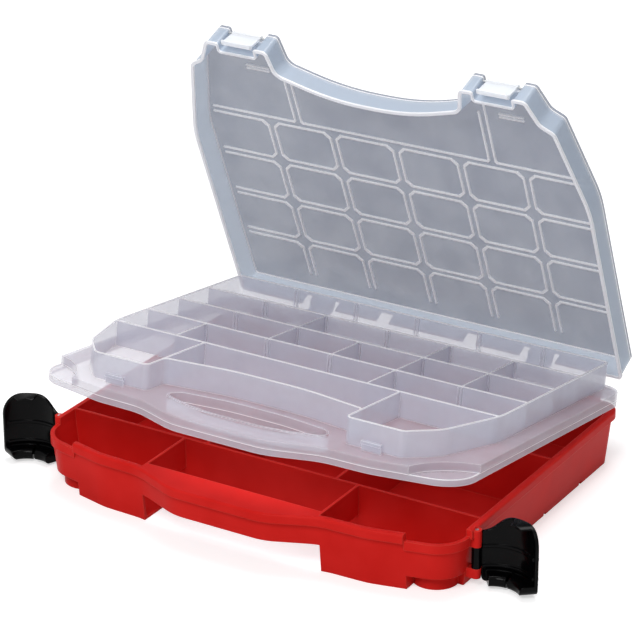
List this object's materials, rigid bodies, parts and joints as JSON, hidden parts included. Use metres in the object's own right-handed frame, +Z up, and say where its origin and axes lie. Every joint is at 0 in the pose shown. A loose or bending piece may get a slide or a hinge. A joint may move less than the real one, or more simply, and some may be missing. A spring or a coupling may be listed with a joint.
{
  "type": "double-sided organizer box",
  "caption": "Portable organizer box with a lower bin, a hinged clear middle tray with removable dividers, a clear lid, corner latches and a grip.",
  "frame": {"origin": "on the underside of the base, on the middle plane, 185 mm in front of the rear hinge line", "axes": "+Z up, +Y towards the rear hinges, +X to the right seen from the grip"},
  "size_m": [0.5758, 0.4168, 0.4021],
  "materials": {
    "red_plastic": "satin",
    "clear_tray": "satin, translucent",
    "clear_lid": "satin, translucent",
    "black_plastic": "gloss",
    "steel": "plain"
  },
  "bodies": {
    "base": {"base_tray": "red_plastic", "tray_hinge_pin_left": "steel", "tray_hinge_pin_right": "steel", "latch_pin_left": "steel", "latch_pin_right": "steel"},
    "tray": {"middle_tray": "clear_tray", "lid_hinge_pin_left": "steel", "lid_hinge_pin_right": "steel"},
    "lid": {"top_lid": "clear_lid", "clip_pin_left": "steel", "clip_pin_right": "steel"},
    "clip_left": {"lid_clip_left": "clear_lid"},
    "clip_right": {"lid_clip_right": "clear_lid"},
    "latch_left": {"corner_latch_left": "black_plastic"},
    "latch_right": {"corner_latch_right": "black_plastic"},
    "divider_b2": {"tray_divider_b2": "clear_tray"},
    "divider_b4": {"tray_divider_b4": "clear_tray"},
    "divider_b5": {"tray_divider_b5": "clear_tray"},
    "divider_c2": {"tray_divider_c2": "clear_tray"},
    "divider_c3": {"tray_divider_c3": "clear_tray"},
    "divider_c4": {"tray_divider_c4": "clear_tray"},
    "divider_c5": {"tray_divider_c5": "clear_tray"},
    "divider_d1": {"tray_divider_d1": "clear_tray"},
    "divider_d4": {"tray_divider_d4": "clear_tray"}
  },
  "joints": [
    {"name": "tray_hinge", "type": "hinge", "parent": "base", "child": "tray", "pos_m": [0, 0.185, 0.058], "axis": [-1, 0, 0], "range_deg": [-8.45, 71.5]},
    {"name": "lid_hinge", "type": "hinge", "parent": "tray", "child": "lid", "pos_m": [0, 0.18563, 0.06225], "axis": [-1, 0, 0], "range_deg": [-58.5, 36.5]},
    {"name": "latch_hinge_right", "type": "hinge", "parent": "base", "child": "latch_right", "pos_m": [0.228, -0.12182, 0.0285], "axis": [0, 0, 1], "range_deg": [-130, 15]},
    {"name": "latch_hinge_left", "type": "hinge", "parent": "base", "child": "latch_left", "pos_m": [-0.228, -0.12182, 0.0285], "axis": [0, 0, -1], "range_deg": [-115, 30]},
    {"name": "clip_hinge_right", "type": "hinge", "parent": "lid", "child": "clip_right", "pos_m": [0.138, 0.0798, 0.39704], "axis": [-1, 0, 0], "range_deg": [-12, 70]},
    {"name": "clip_hinge_left", "type": "hinge", "parent": "lid", "child": "clip_left", "pos_m": [-0.138, 0.0798, 0.39704], "axis": [-1, 0, 0], "range_deg": [-12, 70]},
    {"name": "divider_b2_lift", "type": "slide", "parent": "tray", "child": "divider_b2", "axis": [0, 0.1469, 0.9891], "range_m": [0, 0.03]},
    {"name": "divider_b4_lift", "type": "slide", "parent": "tray", "child": "divider_b4", "axis": [0, 0.1469, 0.9891], "range_m": [0, 0.03]},
    {"name": "divider_b5_lift", "type": "slide", "parent": "tray", "child": "divider_b5", "axis": [0, 0.1469, 0.9891], "range_m": [0, 0.03]},
    {"name": "divider_c2_lift", "type": "slide", "parent": "tray", "child": "divider_c2", "axis": [0, 0.1469, 0.9891], "range_m": [0, 0.03]},
    {"name": "divider_c3_lift", "type": "slide", "parent": "tray", "child": "divider_c3", "axis": [0, 0.1469, 0.9891], "range_m": [0, 0.03]},
    {"name": "divider_c4_lift", "type": "slide", "parent": "tray", "child": "divider_c4", "axis": [0, 0.1469, 0.9891], "range_m": [0, 0.03]},
    {"name": "divider_c5_lift", "type": "slide", "parent": "tray", "child": "divider_c5", "axis": [0, 0.1469, 0.9891], "range_m": [0, 0.03]},
    {"name": "divider_d1_lift", "type": "slide", "parent": "tray", "child": "divider_d1", "axis": [0, 0.1469, 0.9891], "range_m": [0, 0.03]},
    {"name": "divider_d4_lift", "type": "slide", "parent": "tray", "child": "divider_d4", "axis": [0, 0.1469, 0.9891], "range_m": [0, 0.03]}
  ]
}
